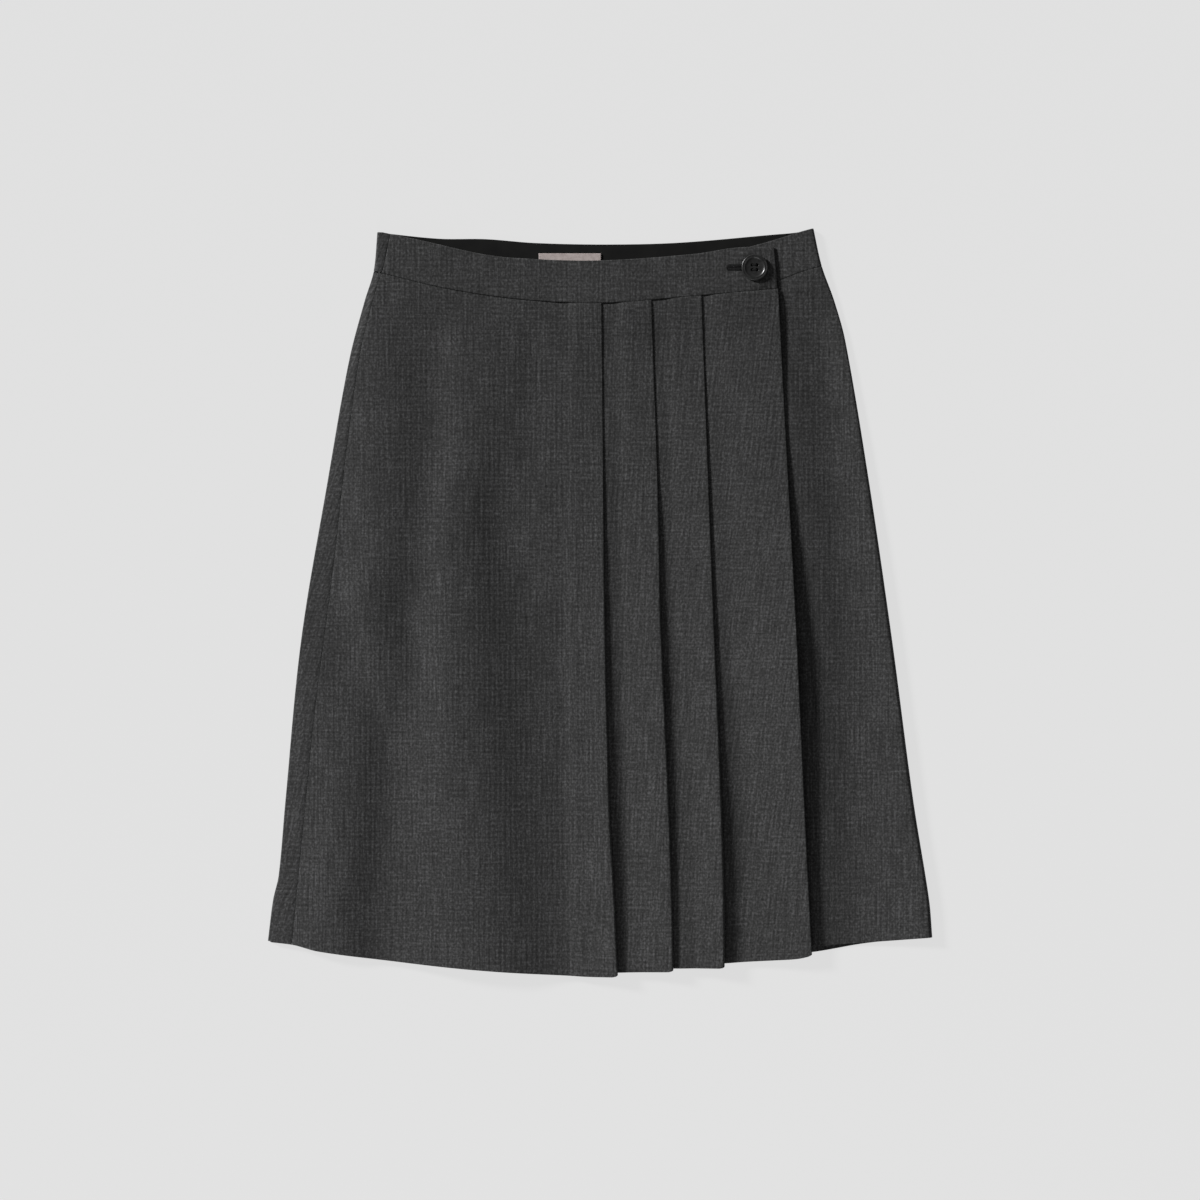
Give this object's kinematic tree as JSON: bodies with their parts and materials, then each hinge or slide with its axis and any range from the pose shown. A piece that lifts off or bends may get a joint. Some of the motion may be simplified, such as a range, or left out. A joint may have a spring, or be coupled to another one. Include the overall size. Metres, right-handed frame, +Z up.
{
  "type": "pleated midi skirt",
  "caption": "Charcoal wool wrap skirt laid flat, with knife pleats, a buttoned waistband, a black waist facing and a blank woven label.",
  "frame": {"origin": "centre of the laid skirt on the surface it lies on", "axes": "+Z up from the surface, out of the front of the skirt; +Y from the hem to the waist; +X to the wrap's free edge"},
  "size_m": [0.5587, 0.629, 0.0126],
  "materials": {
    "wool_suiting": "charcoal melange wool, matte, fine plain weave",
    "black_lining_facing": "black, matte, fine twill",
    "woven_label": "pale pinkish grey, woven, blank",
    "button_resin": "black polished resin",
    "sewing_thread": "black polyester thread"
  },
  "bodies": {
    "root": {"front_wrap_panel": "wool_suiting", "front_under_panel": "wool_suiting", "back_panel": "wool_suiting", "wrap_waistband": "wool_suiting", "under_waistband": "wool_suiting", "back_waistband": "wool_suiting", "back_waistband_facing": "black_lining_facing", "woven_label": "woven_label", "button": "button_resin", "button_thread": "sewing_thread"}
  },
  "joints": []
}
